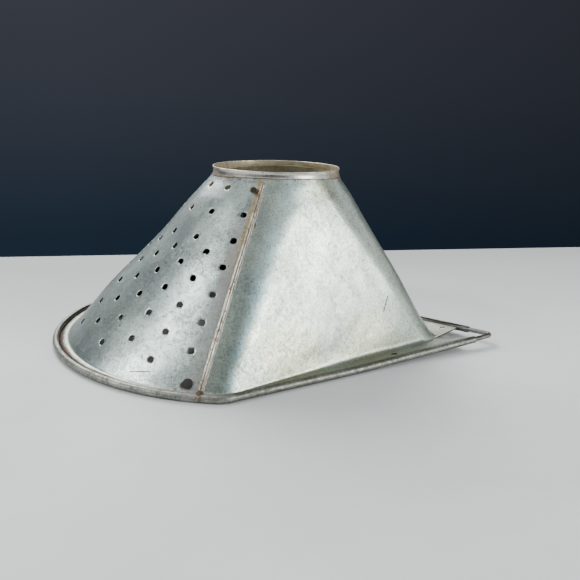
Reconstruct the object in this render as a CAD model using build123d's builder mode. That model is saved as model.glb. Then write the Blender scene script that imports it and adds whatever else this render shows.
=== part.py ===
import os
from math import atan, cos, degrees, radians, sin, tan

from build123d import *

# Canning funnel with a strainer half, standing on its wide mouth, neck up.
# Origin: on the table under the centre of the neck. +X points to the hanging loop, +Z up. Millimetres.

# ---- sheet and wire ----
SHEET = 0.45                 # tinplate thickness
SHEET_LEVEL = 0.55           # the same sheet measured horizontally, through the sloping wall
WIRE_R = 1.1                 # rim wire
WIRE_GAP = 0.05              # slack between the wire and the sheet rolled round it
ROLL_R = WIRE_R + WIRE_GAP + SHEET   # outer radius of the rolled edge

# ---- neck ----
NECK_R = 28.5                # outside of the collar, to enter a regular jar mouth
NECK_Z = 75.4                # top edge of the cone, foot of the collar
TOP_Z = 79.4                 # lip of the collar
COLLAR_WALL = 0.8            # the collar's edge is hemmed, so it is thicker than the sheet
LIP_ROUND = 0.3              # rounding of the lip's edges

# ---- cone wall, outline of its outer face where it would meet the table ----
BASE_X = -14.6               # centre of the half ellipse under the strainer
BASE_A = 83.7                # half ellipse, along X
BASE_B = 77.0                # half ellipse, along Y
CORNER_R = 14.3              # bend beside the seam, before the flat panel
PANEL_ANGLE = 39.6           # flat panel's plan direction, from the X axis
TIP_WALL_R = 11.0            # bend of the wall behind the hanging loop
FLAT_HALF = 1.2              # degrees of neck arc each side of the panel's apex that are left straight

# ---- flange and rim, in plan ----
RIM_X = -14.0                # centre of the half ellipse of the wire
RIM_A = 87.6
RIM_B = 78.4
RIM_CORNER_X = -9.85         # where the tangent of the ellipse meets the straight side
RIM_CORNER_R = 12.0
TIP_X = 103.62               # where the two straight sides would meet
TIP_R = 2.0                  # bend of the wire at the tip
FLANGE_Z = 1.95              # underside of the flange
RISE_X = 40.0                # from here to the tip the flange and rim rise off the table
RISE = 0.042                 # rise per millimetre along X
RISE_BEND_R = 150.0          # radius of that gentle bend in the wire
FLANGE_REACH = 1.2           # the flange ends this far inside the wire's centre line, within the roll
ROLL_END_X = 94.0            # the rolled edge stops here, and the wire runs on bare
NOTCH_X = 90.0               # the V cut reaches the roll here
NOTCH_ROOT_X = 75.6          # root of the V cut, at the wall

# ---- lock seams ----
SEAM_NECK_X = -2.0           # the seam's place along X at the neck
SEAM_FOOT_X = -19.2          # and at its foot
SEAM_FOOT_Z = 3.0
FOLD_HALF = 0.9              # half width of the folded lock
FOLD_RISE = 0.9              # its height above the wall
FOLD_ROOT = 0.3              # how deep the fold is rooted in the strainer's wall
FOLD_TOP_Z = 74.6
SOLDER_WIDTH = 0.7           # solder run beside the fold
SOLDER_RISE = 0.4
FOOT_SOLDER_R = 2.3          # lump where the seam meets the rim
COLLAR_SOLDER = 0.6          # leg of the fillet round the collar's foot

# ---- perforations of the strainer ----
HOLE_R = 1.4
HOLE_DEPTH = 2.0             # through the sheet
FIRST_COLUMN = 100.0         # degrees round the ellipse from +X, on each side
COLUMN_GAPS = 7              # equal steps from the first column to the far end of the ellipse
LONG_ROWS = 7                # rows in the long columns
SHORT_ROWS = 5               # rows in the columns between them, half a step lower
FIRST_ROW = 0.044            # distance down the wall, as a share of the whole
ROW_STEP = 0.126
FIRST_SHORT_ROW = 2.5        # in row steps below the first row
BIG_HOLE_R = 2.1             # the one odd hole low beside the front seam
BIG_HOLE_ANGLE = 262.4
BIG_HOLE_Z = 4.6
NAIL_HOLES = ((14.5, -59.6, 1.1), (56.0, -27.4, 1.3), (80.5, 9.8, 0.8))   # x, y, radius in the flange

FAR = 150.0                  # beyond every edge of the funnel

panel = radians(PANEL_ANGLE)
across = radians(90 - PANEL_ANGLE)        # from +X to the panel's outward normal
wire_z = ROLL_R
rim_slope = atan(RIM_B / (TIP_X - RIM_CORNER_X))
seam_lean = (SEAM_FOOT_X - SEAM_NECK_X) / (SEAM_FOOT_Z - NECK_Z)
panel_distance = (BASE_X * sin(panel) + (BASE_B - CORNER_R) * cos(panel) + CORNER_R)


def rise(x):
    """Height of the bent-up end above the flat part of the rim."""
    return max(0.0, (x - RISE_X) * RISE)


def base_edges(grow):
    """Outline of the cone at table level, grown outwards, round from the rear by the strainer."""
    normal = degrees(across)
    tip_x = (panel_distance - TIP_WALL_R) / cos(across)
    strainer_rear = EllipticalCenterArc((BASE_X, 0), BASE_A + grow, BASE_B + grow, 90)
    strainer_front = EllipticalCenterArc((BASE_X, 0), BASE_A + grow, BASE_B + grow, 180)
    front = CenterArc((BASE_X, CORNER_R - BASE_B), CORNER_R + grow, 270, 90 - normal)
    tip = CenterArc((tip_x, 0), TIP_WALL_R + grow, -normal, 2 * normal)
    rear = CenterArc((BASE_X, BASE_B - CORNER_R), CORNER_R + grow, normal, 90 - normal)
    front_panel = Line(front @ 1, tip @ 0)
    rear_panel = Line(tip @ 1, rear @ 0)
    return [strainer_rear, strainer_front, front, front_panel, tip, rear_panel, rear]


def neck_edges(grow):
    """The neck's circle, cut to match the base's edges: a short flat faces each flat panel."""
    normal = degrees(across)
    centre = (0, 0, NECK_Z)
    radius = NECK_R + grow
    bend = 90 - normal - FLAT_HALF
    strainer_rear = CenterArc(centre, radius, 90, 90)
    strainer_front = CenterArc(centre, radius, 180, 90)
    front = CenterArc(centre, radius, 270, bend)
    tip = CenterArc(centre, radius, FLAT_HALF - normal, 2 * (normal - FLAT_HALF))
    rear = CenterArc(centre, radius, normal + FLAT_HALF, bend)
    front_panel = Line(front @ 1, tip @ 0)
    rear_panel = Line(tip @ 1, rear @ 0)
    return [strainer_rear, strainer_front, front, front_panel, tip, rear_panel, rear]


def cone(grow):
    """Solid cone whose side is the wall's outer face, grown outwards horizontally.

    Its sides are ruled faces between matching edges, so they are made one by one outside a builder,
    which would join the neck's arcs into one.
    """
    base = base_edges(grow)
    neck = neck_edges(grow)
    sides = [Face.make_surface_from_curves(edge1=low, edge2=high) for low, high in zip(base, neck)]
    ends = [Face(Wire(base)), Face(Wire(neck))]
    with BuildPart() as body:
        add(Solid(Shell(sides + ends)), clean=False)
    return body.part


def between_seam_planes(low, high, side):
    """Slab beside the seam plane, from low to high towards +X, on the front (-1) or rear (+1) side."""
    with BuildPart() as slab:
        with BuildSketch(seam_plane.offset(low)):
            with Locations((side * FAR / 2, 0)):
                Rectangle(FAR, 2 * FAR)
        extrude(amount=high - low)
    return slab.part


# the sheet's wall, flange and rolled edge as one closed skin, before it is parted at the seams
seam_plane = Plane(
    origin=(SEAM_FOOT_X, 0, SEAM_FOOT_Z),
    x_dir=(0, 1, 0),
    z_dir=(1, 0, -seam_lean),
)
outer_cone = cone(0)
inner_cone = cone(-SHEET_LEVEL)
root_cone = cone(-FOLD_ROOT)
fold_cone = cone(FOLD_RISE)
solder_cone = cone(SOLDER_RISE)

bend_y = RIM_B - (RISE_X - RIM_CORNER_X) * tan(rim_slope)
tip_z = wire_z + rise(TIP_X)
notch_y = (TIP_X - NOTCH_X) * tan(rim_slope) - FLANGE_REACH / cos(rim_slope)
rim_half = [
    (RIM_X, -RIM_B, wire_z),
    (RIM_CORNER_X, -RIM_B, wire_z),
    (RISE_X, -bend_y, wire_z),
]
rim_points = rim_half + [(TIP_X, 0, tip_z)] + [(x, -y, z) for x, y, z in reversed(rim_half)]
rim_radii = [RIM_CORNER_R, RISE_BEND_R, TIP_R, RISE_BEND_R, RIM_CORNER_R]
with BuildLine() as rim_line:
    FilletPolyline(*rim_points, radius=rim_radii)
    for start_angle in (90, 180):
        EllipticalCenterArc((RIM_X, 0, wire_z), RIM_A, RIM_B, start_angle, arc_size=90)
rim_start = Plane(origin=rim_line.wire() @ 0, z_dir=rim_line.wire() % 0)

with BuildPart() as rim_wire:
    with BuildSketch(rim_start):
        Circle(WIRE_R)
    sweep(path=rim_line.wire())
rim_wire.part.label = "rim_wire"

with BuildPart() as roll_core:
    with BuildSketch(rim_start):
        Circle(ROLL_R)
    sweep(path=rim_line.wire())

with BuildPart() as roll:
    add(roll_core.part)
    with BuildSketch(rim_start):
        Circle(WIRE_R + WIRE_GAP)
    sweep(path=rim_line.wire(), mode=Mode.SUBTRACT)
    with BuildSketch(Plane.YZ.offset(ROLL_END_X)):
        Rectangle(FAR, FAR)
    extrude(amount=FAR, mode=Mode.SUBTRACT)

with BuildPart() as flange:
    with BuildSketch(Plane.XZ):
        with BuildLine():
            Polyline(
                (-FAR, FLANGE_Z),
                (RISE_X, FLANGE_Z),
                (FAR, FLANGE_Z + rise(FAR)),
                (FAR, FLANGE_Z + rise(FAR) + SHEET),
                (RISE_X, FLANGE_Z + SHEET),
                (-FAR, FLANGE_Z + SHEET),
                close=True,
            )
        make_face()
    extrude(amount=FAR, both=True)
    with BuildSketch():
        with BuildLine():
            FilletPolyline(
                (RIM_X, -RIM_B),
                (RIM_CORNER_X, -RIM_B),
                (TIP_X, 0),
                (RIM_CORNER_X, RIM_B),
                (RIM_X, RIM_B),
                radius=[RIM_CORNER_R, TIP_R, RIM_CORNER_R],
            )
            EllipticalCenterArc((RIM_X, 0), RIM_A, RIM_B, 90, arc_size=180)
        make_face()
        offset(amount=-FLANGE_REACH)
    extrude(amount=FAR, both=True, mode=Mode.INTERSECT)
    add(inner_cone, mode=Mode.SUBTRACT)
    with BuildSketch():
        with BuildLine():
            Polyline(
                (NOTCH_ROOT_X, 0),
                (NOTCH_X, -notch_y),
                (FAR, -notch_y),
                (FAR, notch_y),
                (NOTCH_X, notch_y),
                close=True,
            )
        make_face()
    extrude(amount=FAR, mode=Mode.SUBTRACT)
    for hole_x, hole_y, hole_r in NAIL_HOLES:
        with Locations((hole_x, hole_y, FAR)):
            Hole(hole_r, depth=FAR)

with BuildPart() as skin:
    add(outer_cone)
    add(inner_cone, mode=Mode.SUBTRACT)
    with BuildSketch(Plane.XZ):
        with BuildLine():
            Polyline(
                (-FAR, -FAR),
                (FAR, -FAR),
                (FAR, FLANGE_Z + rise(FAR)),
                (RISE_X, FLANGE_Z),
                (-FAR, FLANGE_Z),
                close=True,
            )
        make_face()
    extrude(amount=FAR, both=True, mode=Mode.SUBTRACT)
    add(flange.part)
    add(roll.part)


def wall_plane(angle, share):
    """Plane on the strainer's outer face: share is 0 at the neck and 1 at table level."""
    turn = radians(angle)
    high = Vector(NECK_R * cos(turn), NECK_R * sin(turn), NECK_Z)
    low = Vector(BASE_X + BASE_A * cos(turn), BASE_B * sin(turn), 0)
    radius_x = NECK_R + (BASE_A - NECK_R) * share
    radius_y = NECK_R + (BASE_B - NECK_R) * share
    down = low - high
    round_wall = Vector(-radius_x * sin(turn), radius_y * cos(turn), 0)
    return Plane(origin=high + down * share, z_dir=down.cross(round_wall))


def perforations():
    """Planes of the small holes: long columns, with shorter ones between them half a row lower."""
    planes = []
    column_step = (180 - FIRST_COLUMN) / COLUMN_GAPS
    for column in range(2 * COLUMN_GAPS + 1):
        angle = FIRST_COLUMN + column * column_step
        short = column % 2 == 1
        first = FIRST_SHORT_ROW if short else 0
        for row in range(SHORT_ROWS if short else LONG_ROWS):
            planes.append(wall_plane(angle, FIRST_ROW + (first + row) * ROW_STEP))
    return planes


def seam_piece(cover, root, low, high, side):
    """Strip along a seam, between two cones and two planes beside the seam plane."""
    with BuildPart() as strip:
        add(cover)
        add(root, mode=Mode.SUBTRACT)
        add(between_seam_planes(low, high, side), mode=Mode.INTERSECT)
        add(plain_core, mode=Mode.SUBTRACT)
        split(bisect_by=Plane.XY.offset(FOLD_TOP_Z), keep=Keep.BOTTOM)
        split(bisect_by=Plane.XY.offset(FLANGE_Z + SHEET), keep=Keep.TOP)
    return strip.part


def foot_lump(side, solder):
    """Solder lump in the angle between the seam's foot, the flange and the roll."""
    foot = (SEAM_FOOT_X, side * (RIM_B - FOOT_SOLDER_R / 2), FLANGE_Z + SHEET)
    with BuildPart() as lump:
        with Locations(foot):
            Sphere(FOOT_SOLDER_R)
        split(bisect_by=Plane.XY.offset(FLANGE_Z + SHEET), keep=Keep.TOP)
        for neighbour in (outer_cone, roll_core.part, strainer_half.part, solder):
            add(neighbour, mode=Mode.SUBTRACT)
    return lump.solids().sort_by(SortBy.VOLUME)[-1]


plain_core = split(outer_cone, bisect_by=seam_plane, keep=Keep.TOP)
front_fold = seam_piece(fold_cone, root_cone, -FOLD_HALF, FOLD_HALF, -1)
rear_fold = seam_piece(fold_cone, root_cone, -FOLD_HALF, FOLD_HALF, 1)

with BuildPart() as strainer_half:
    add(skin.part)
    split(bisect_by=seam_plane, keep=Keep.BOTTOM)
    with Locations(*perforations()):
        Hole(HOLE_R, depth=HOLE_DEPTH)
    with Locations(wall_plane(BIG_HOLE_ANGLE, 1 - BIG_HOLE_Z / NECK_Z)):
        Hole(BIG_HOLE_R, depth=HOLE_DEPTH)
    add(front_fold)
    add(rear_fold)
strainer_half.part.label = "strainer_half"

with BuildPart() as plain_half:
    add(skin.part)
    split(bisect_by=seam_plane, keep=Keep.TOP)
plain_half.part.label = "plain_half"

with BuildPart() as neck_collar:
    with BuildSketch(Plane.XZ) as band:
        with Locations((NECK_R - COLLAR_WALL / 2, (NECK_Z + TOP_Z) / 2)):
            Rectangle(COLLAR_WALL, TOP_Z - NECK_Z)
        fillet(band.vertices().group_by(Axis.Y)[-1], LIP_ROUND)
    revolve(axis=Axis.Z)
neck_collar.part.label = "neck_collar"

with BuildPart() as front_seam_solder:
    add(seam_piece(solder_cone, outer_cone, FOLD_HALF, FOLD_HALF + SOLDER_WIDTH, -1))
front_seam_solder.part.label = "front_seam_solder"

with BuildPart() as rear_seam_solder:
    add(seam_piece(solder_cone, outer_cone, FOLD_HALF, FOLD_HALF + SOLDER_WIDTH, 1))
rear_seam_solder.part.label = "rear_seam_solder"

with BuildPart() as collar_solder:
    with BuildSketch(Plane.XZ):
        with BuildLine():
            Polyline(
                (NECK_R, NECK_Z - COLLAR_SOLDER),
                (NECK_R + COLLAR_SOLDER, NECK_Z - COLLAR_SOLDER),
                (NECK_R, NECK_Z + COLLAR_SOLDER),
                close=True,
            )
        make_face()
    revolve(axis=Axis.Z)
    add(outer_cone, mode=Mode.SUBTRACT)
collar_solder.part.label = "collar_solder"

with BuildPart() as front_foot_solder:
    add(foot_lump(-1, front_seam_solder.part))
front_foot_solder.part.label = "front_foot_solder"

with BuildPart() as rear_foot_solder:
    add(foot_lump(1, rear_seam_solder.part))
rear_foot_solder.part.label = "rear_foot_solder"

pieces = [
    strainer_half,
    plain_half,
    neck_collar,
    rim_wire,
    front_seam_solder,
    rear_seam_solder,
    collar_solder,
    front_foot_solder,
    rear_foot_solder,
]
os.makedirs("parts", exist_ok=True)
for piece in pieces:
    export_step(piece.part, f"parts/{piece.part.label}.step")
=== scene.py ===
import math

import bmesh
import bpy
import numpy as np
from mathutils import Matrix, Vector


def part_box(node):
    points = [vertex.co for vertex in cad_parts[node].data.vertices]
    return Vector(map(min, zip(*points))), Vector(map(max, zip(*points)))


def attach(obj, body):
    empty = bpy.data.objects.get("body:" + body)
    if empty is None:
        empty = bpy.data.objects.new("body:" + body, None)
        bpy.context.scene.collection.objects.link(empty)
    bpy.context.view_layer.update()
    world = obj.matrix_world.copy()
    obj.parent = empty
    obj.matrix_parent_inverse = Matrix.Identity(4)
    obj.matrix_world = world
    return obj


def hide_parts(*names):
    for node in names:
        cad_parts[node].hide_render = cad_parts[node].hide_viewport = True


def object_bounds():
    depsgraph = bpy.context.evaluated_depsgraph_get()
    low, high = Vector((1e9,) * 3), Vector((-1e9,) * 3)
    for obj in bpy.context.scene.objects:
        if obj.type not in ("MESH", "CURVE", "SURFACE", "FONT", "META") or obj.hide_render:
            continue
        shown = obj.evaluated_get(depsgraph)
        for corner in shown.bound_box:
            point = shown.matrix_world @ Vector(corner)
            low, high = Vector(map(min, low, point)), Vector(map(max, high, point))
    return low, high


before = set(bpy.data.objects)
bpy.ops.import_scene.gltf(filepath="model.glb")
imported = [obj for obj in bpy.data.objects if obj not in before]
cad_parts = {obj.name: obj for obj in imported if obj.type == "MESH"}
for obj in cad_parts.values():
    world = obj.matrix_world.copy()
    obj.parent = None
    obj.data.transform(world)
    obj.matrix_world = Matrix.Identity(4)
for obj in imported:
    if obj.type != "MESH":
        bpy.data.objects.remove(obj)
cad_low, cad_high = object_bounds()

# Looks of a tinned canning funnel with a strainer half. All shape work is in millimetres, scaled to
# metres when a mesh is made.
MM = 0.001
RNG = np.random.default_rng(20)

# ---- the sheet's form, as the CAD has it ----
SHEET = 0.45
HALF_LEVEL = 0.275                       # half the sheet, measured horizontally through the wall
WIRE_R = 1.1
MID_R = 1.375                            # middle of the sheet rolled round the wire
RIM_OUT_R = 1.6
collar_low, collar_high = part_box("neck_collar")
NECK_R = (collar_high.x - collar_low.x) / 2 / MM
NECK_Z = collar_low.z / MM
TOP_Z = collar_high.z / MM
BASE_X, BASE_A, BASE_B = -14.6, 83.7, 77.0
CORNER_R = 14.3
PANEL = math.radians(39.6)
ACROSS = math.pi / 2 - PANEL
TIP_WALL_R = 11.0
FLAT_HALF = math.radians(1.2)
RIM_X, RIM_A, RIM_B = -14.0, 87.6, 78.4
RIM_CORNER_X, RIM_CORNER_R = -9.85, 12.0
TIP_X, TIP_R = 103.62, 2.0
RISE_X, RISE, RISE_BEND = 40.0, 0.042, 4.0
FLANGE_MID = 2.175
ROLL_END_X, NOTCH_X = 94.0, 90.0
NOTCH_ROOT = (76.1, -3.2)
ROOT_PLACE, NOTCH_SHARE = -15 / 44, 0.35
GROOVE, REAR_GROOVE = 0.3, 1.25            # width of the groove at the front and at the rear
GROOVE_EDGE = 0.35                       # from the groove to the flange's edge
NOTCH_SLIT = (75.75, 0.4, 0.5, 6.0)      # x, y, half width, stretch along y
SEAM_NECK_X, SEAM_FOOT_X, SEAM_FOOT_Z = -2.0, -19.2, 3.0
SEAM_LEAN = (SEAM_FOOT_X - SEAM_NECK_X) / (SEAM_FOOT_Z - NECK_Z)
RIM_SLOPE = math.atan(RIM_B / (TIP_X - RIM_CORNER_X))

# ---- the perforations ----
FIRST_COLUMN, COLUMN_STEP = 100.0, 80.0 / 7
COLUMNS = 15
LONG_ROWS, SHORT_ROWS = 7, 5
FIRST_ROW, ROW_STEP, FIRST_SHORT_ROW = 0.044, 0.126, 2.5
HOLE_R = 1.48
BIG_HOLE = (262.4, 4.7, 2.1)             # angle, height, radius
NAIL_HOLES = ((14.8, -60.0, 1.0), (56.0, -27.4, 1.3), (81.6, 8.0, 1.1))
PER_COLUMN, PER_ROW = 20, 18             # mesh divisions in a column step and a row step


def rise(x):
    """Height of the bent-up end above the flat part of the rim."""
    x = np.asarray(x, float)
    bend = RISE * np.clip(x - RISE_X + RISE_BEND, 0, None) ** 2 / (4 * RISE_BEND)
    return np.where(x > RISE_X + RISE_BEND, RISE * (x - RISE_X), bend)


def waves(count, length, seed):
    """Random smooth waves in space, as directions, phases and weights."""
    rng = np.random.default_rng(seed)
    way = rng.normal(size=(count, 3))
    way /= np.linalg.norm(way, axis=1)[:, None]
    k = way * 2 * math.pi / (length * rng.uniform(0.7, 1.4, (count, 1)))
    return k, rng.uniform(0, 2 * math.pi, count), 1 / math.sqrt(count / 2)


FIELDS = [(waves(8, 52, 3), 0.30), (waves(8, 21, 4), 0.07), (waves(8, 8, 5), 0.018)]


def noise(p, which):
    (k, phase, weight), size = which
    return np.sin(p @ k.T + phase).sum(axis=1) * weight * size


def dents(p):
    """Moves points of the wall in and out a little, so that the sheet isn't perfect."""
    p = np.asarray(p, float)
    fade = np.clip((p[:, 2] - 3.0) / 8, 0, 1) * np.clip((73.5 - p[:, 2]) / 6, 0, 1)
    amount = sum(noise(p, field) for field in FIELDS) * fade
    away = np.c_[p[:, 0] + 8, p[:, 1], np.full(len(p), 22.0)]
    away /= np.linalg.norm(away, axis=1)[:, None]
    return p + away * amount[:, None]


# ---- outlines ----
def ellipse_part(angles, grow):
    base = np.c_[BASE_X + (BASE_A + grow) * np.cos(angles), (BASE_B + grow) * np.sin(angles)]
    neck = (NECK_R + grow) * np.c_[np.cos(angles), np.sin(angles)]
    return neck, base


def arc(centre, radius, start, stop, count):
    angles = np.linspace(start, stop, count)
    return np.c_[centre[0] + radius * np.cos(angles), centre[1] + radius * np.sin(angles)]


def plain_outline(grow):
    """Neck and base points of the plain half, front seam to rear seam, and the part each belongs to."""
    distance = BASE_X * math.sin(PANEL) + (BASE_B - CORNER_R) * math.cos(PANEL) + CORNER_R
    tip_x = (distance - TIP_WALL_R) / math.cos(ACROSS)
    neck, base = ellipse_part(np.radians(np.linspace(261, 270, 16)), grow)
    radius = NECK_R + grow
    down = -math.pi / 2
    corner = arc((BASE_X, CORNER_R - BASE_B), CORNER_R + grow, down, -ACROSS, 43)
    corner_neck = arc((0, 0), radius, down, -ACROSS - FLAT_HALF, 43)
    tip = arc((tip_x, 0), TIP_WALL_R + grow, -ACROSS, 0, 45)
    tip_neck = arc((0, 0), radius, -ACROSS + FLAT_HALF, 0, 45)
    share = np.linspace(0, 1, 86)[1:-1, None]
    side = corner[-1] + (tip[0] - corner[-1]) * share
    side_neck = corner_neck[-1] + (tip_neck[0] - corner_neck[-1]) * share
    base = np.vstack([base[:-1], corner, side, tip])
    neck = np.vstack([neck[:-1], corner_neck, side_neck, tip_neck])
    part = np.r_[np.zeros(15), np.ones(43), np.full(84, 2), 3 + np.linspace(0, 1, 45)]
    flip = np.array([1, -1])
    base = np.vstack([base, base[-2::-1] * flip])
    neck = np.vstack([neck, neck[-2::-1] * flip])
    return neck, base, np.r_[part, part[-2::-1]]


def rim_curve():
    """Dense centre line of the rim wire in plan, from the rear of the ellipse round by the front and tip."""
    half = np.linspace(math.pi / 2, 3 * math.pi / 2, 4001)
    ellipse = np.c_[RIM_X + RIM_A * np.cos(half), RIM_B * np.sin(half)]
    tangent = RIM_CORNER_R * math.tan(RIM_SLOPE / 2)
    centre = (RIM_CORNER_X - tangent, -RIM_B + RIM_CORNER_R)
    bend = arc(centre, RIM_CORNER_R, -math.pi / 2, -math.pi / 2 + RIM_SLOPE, 200)
    tip_centre = TIP_X - TIP_R / math.sin(RIM_SLOPE)
    tip = arc((tip_centre, 0), TIP_R, -math.pi / 2 + RIM_SLOPE, 0, 200)
    run = bend[-1] + (tip[0] - bend[-1]) * np.linspace(0, 1, 3002)[1:-1, None]
    start = ellipse[-1] + (bend[0] - ellipse[-1]) * np.linspace(0, 1, 60)[1:-1, None]
    front = np.vstack([start, bend, run, tip])
    rear = (front * np.array([1, -1]))[::-1]
    return np.vstack([ellipse, front, rear[1:]])


RIM = rim_curve()
RIM_WAY = np.gradient(RIM, axis=0)
RIM_WAY /= np.linalg.norm(RIM_WAY, axis=1)[:, None]
RIM_IN = np.c_[-RIM_WAY[:, 1], RIM_WAY[:, 0]]


def nearest_rim(points):
    return np.array([np.argmin(((RIM - p) ** 2).sum(axis=1)) for p in points])


def rim_at_x(x, side):
    """Index of the rim point at x on the front (-1) or rear (1) straight side."""
    away = np.abs(RIM[:, 0] - x) + np.where(RIM[:, 1] * side > 0, 0, 1e6)
    return int(np.argmin(away))


# ---- the sheet as a grid of points: wall, bend, flange, groove and roll ----
BEND_ROWS, FLANGE_ROWS, DIP_ROWS, ROLL_ROWS = 7, 6, 6, 22


def raised_foot(azimuth):
    """Height of the collar's lower edge: it sits higher at the front and rear than at the sides."""
    return NECK_Z + 1.5 * np.sin(azimuth) ** 2


def on_wall(neck, base, share):
    """Points of the wall's ruled surface: share 0 at the neck and 1 at table level."""
    share = np.asarray(share, float)[..., None]
    high = np.concatenate([neck, np.full(neck.shape[:-1] + (1,), NECK_Z)], axis=-1)
    low = np.concatenate([base, np.zeros(base.shape[:-1] + (1,))], axis=-1)
    return high + (low - high) * share


def curve_rows(points, rows):
    """Bezier through 3 or 4 control points, each an array of 3-D points."""
    t = np.linspace(0, 1, rows + 1)[None, :, None]
    p = [q[:, None, :] for q in points]
    if len(p) == 3:
        return p[0] * (1 - t) ** 2 + p[1] * 2 * t * (1 - t) + p[2] * t**2
    a, b, c, d = p
    return a * (1 - t) ** 3 + b * 3 * t * (1 - t) ** 2 + c * 3 * t**2 * (1 - t) + d * t**3


def roll_points(index, turn, swell):
    """Points on the roll's middle: turn 0 is the inner side, 90 the underside, in degrees."""
    centre, inward = RIM[index], RIM_IN[index]
    turn = np.radians(turn)
    radius = MID_R * swell
    flat = centre[:, None, :] + inward[:, None, :] * (radius * np.cos(turn))[..., None]
    high = RIM_OUT_R + rise(centre[:, 0])[:, None] - radius * np.sin(turn)
    return np.concatenate([flat, high[..., None]], axis=-1)


def rolled(index, groove, later=0.0):
    """Lines of points round the roll, and where each line starts in degrees. later delays the start."""
    first = 8 + 40 * (groove - GROOVE) / 1.5 + later
    wobble = 9 * np.sin(index * 0.0021) + 6 * np.sin(index * 0.0093 + 1)
    turn = first[:, None] + (300 + wobble - first)[:, None] * np.linspace(0, 1, ROLL_ROWS + 1)[None, :]
    swell = 1 - 0.02 * (1 + np.sin(index * 0.004)) * 0.5
    return roll_points(index, turn, swell[:, None]), first


def foot_height(x):
    """Height of the wall's foot: it stays down where the rim rises towards the point."""
    return FLANGE_MID - 0.3 * np.clip((np.asarray(x, float) - 35) / 25, 0, 1)


def foot_profile(neck, base, rim_index, groove, wanted_bend, edge_end):
    """Everything below the wall for each generator. Returns the wall's last share and the rows."""
    share = np.full(len(neck), 0.97)
    for _ in range(8):
        corner = on_wall(neck, base, share)
        share = 1 - foot_height(corner[:, 0]) / NECK_Z
    corner = on_wall(neck, base, share)
    centre, inward = RIM[rim_index], RIM_IN[rim_index]
    reach = RIM_OUT_R + groove + GROOVE_EDGE
    edge = centre + inward * reach[:, None]
    given = ~np.isnan(edge_end[:, 0])
    edge[given] = edge_end[given, :2]
    lifted = np.where(given, edge_end[:, 2], 1.0)
    risen = FLANGE_MID + rise(edge[:, 0])
    edge = np.c_[edge, foot_height(edge[:, 0]) * (1 - lifted) + risen * lifted]
    out = edge - corner
    width = np.linalg.norm(out[:, :2], axis=1)
    ahead = out / width[:, None]
    bend = np.minimum(wanted_bend, 0.5 * width)
    length = np.linalg.norm(np.c_[base - neck, np.full(len(neck), NECK_Z)], axis=1)
    last = share - bend / length
    start = on_wall(neck, base, last)
    finish = corner + ahead * bend[:, None]
    bend_rows = curve_rows([start, corner, finish], BEND_ROWS)[:, 1:]
    t = np.linspace(0, 1, FLANGE_ROWS + 1)[None, 1:, None]
    flange_rows = finish[:, None, :] * (1 - t) + edge[:, None, :] * t
    roll, first_turn = rolled(rim_index, groove)
    side = np.radians(first_turn)
    lead = np.c_[inward * np.sin(side)[:, None], np.cos(side)]
    inward3 = np.c_[inward, np.zeros(len(inward))]
    pull = (0.45 + 0.5 * groove)[:, None]
    dip = curve_rows([edge, edge - inward3 * pull, roll[:, 0] + lead * pull, roll[:, 0]], DIP_ROWS)
    rows = np.concatenate([bend_rows, flange_rows, dip[:, 1:], roll[:, 1:]], axis=1)
    return last, rows


def wear_layers(bm):
    """Vertex layers that tell the materials where the groove, the roll and the flange are. The first one also
    marks the holes' edges; the materials put real rust and painted shade on it.
    """
    return [bm.verts.layers.float.new(name) for name in ("grime_and_shade", "roll", "flange")]


def mark_rows(verts, layers, wall_rows):
    """Marks the groove and the roll on the rows that follow the wall's rows."""
    grime_and_shade, roll, flange = layers
    dip = wall_rows + BEND_ROWS + FLANGE_ROWS
    for line in verts:
        for j in range(wall_rows, len(line)):
            line[j][flange] = min((j - wall_rows) / BEND_ROWS, 1.0)
        # The groove and the roll's tucked end are marked on the first layer: the rust on it is real rust, the
        # near-black blend on it is painted shade.
        for j in range(dip - 2, len(line)):
            stops = (dip - 2, dip + 1, dip + DIP_ROWS + 3, dip + DIP_ROWS + 6)
            line[j][grime_and_shade] = float(np.interp(j, stops, (0, 1, 1, 0)))
            line[j][roll] = float(np.interp(j, (dip - 1, dip + 3), (0, 1)))
        if len(line) > dip + DIP_ROWS:
            line[-1][grime_and_shade] = 0.8
            line[-2][grime_and_shade] = 0.4


def add_grid(bm, points, skip=lambda i, j: False):
    """Adds a grid of points as faces. Returns the vertices, row by row."""
    verts = [[bm.verts.new(p) for p in row] for row in points]
    for i in range(len(verts) - 1):
        for j in range(len(verts[i]) - 1):
            if j + 1 < len(verts[i + 1]) and not skip(i, j):
                bm.faces.new((verts[i][j], verts[i][j + 1], verts[i + 1][j + 1], verts[i + 1][j]))
    return verts


def seam_cut(bm, keep_left):
    geometry = bm.verts[:] + bm.edges[:] + bm.faces[:]
    bmesh.ops.bisect_plane(
        bm,
        geom=geometry,
        plane_co=(SEAM_FOOT_X, 0, SEAM_FOOT_Z),
        plane_no=Vector((1, 0, -SEAM_LEAN)).normalized(),
        clear_outer=keep_left,
        clear_inner=not keep_left,
    )


def linked(name, data):
    """Puts a new object with the given data in the scene. A bmesh becomes a mesh first."""
    if isinstance(data, bmesh.types.BMesh):
        mesh = bpy.data.meshes.new(name)
        data.to_mesh(mesh)
        data.free()
        data = mesh
    made = bpy.data.objects.new(name, data)
    bpy.context.scene.collection.objects.link(made)
    return made


def new_object(name, bm, moved=True):
    """Makes a mesh object in metres from a bmesh in millimetres."""
    if moved:
        points = dents(np.array([v.co for v in bm.verts]))
        for vert, point in zip(bm.verts, points):
            vert.co = point
    bmesh.ops.scale(bm, vec=(MM, MM, MM), verts=bm.verts)
    bmesh.ops.recalc_face_normals(bm, faces=bm.faces)
    return linked(name, bm)


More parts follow.
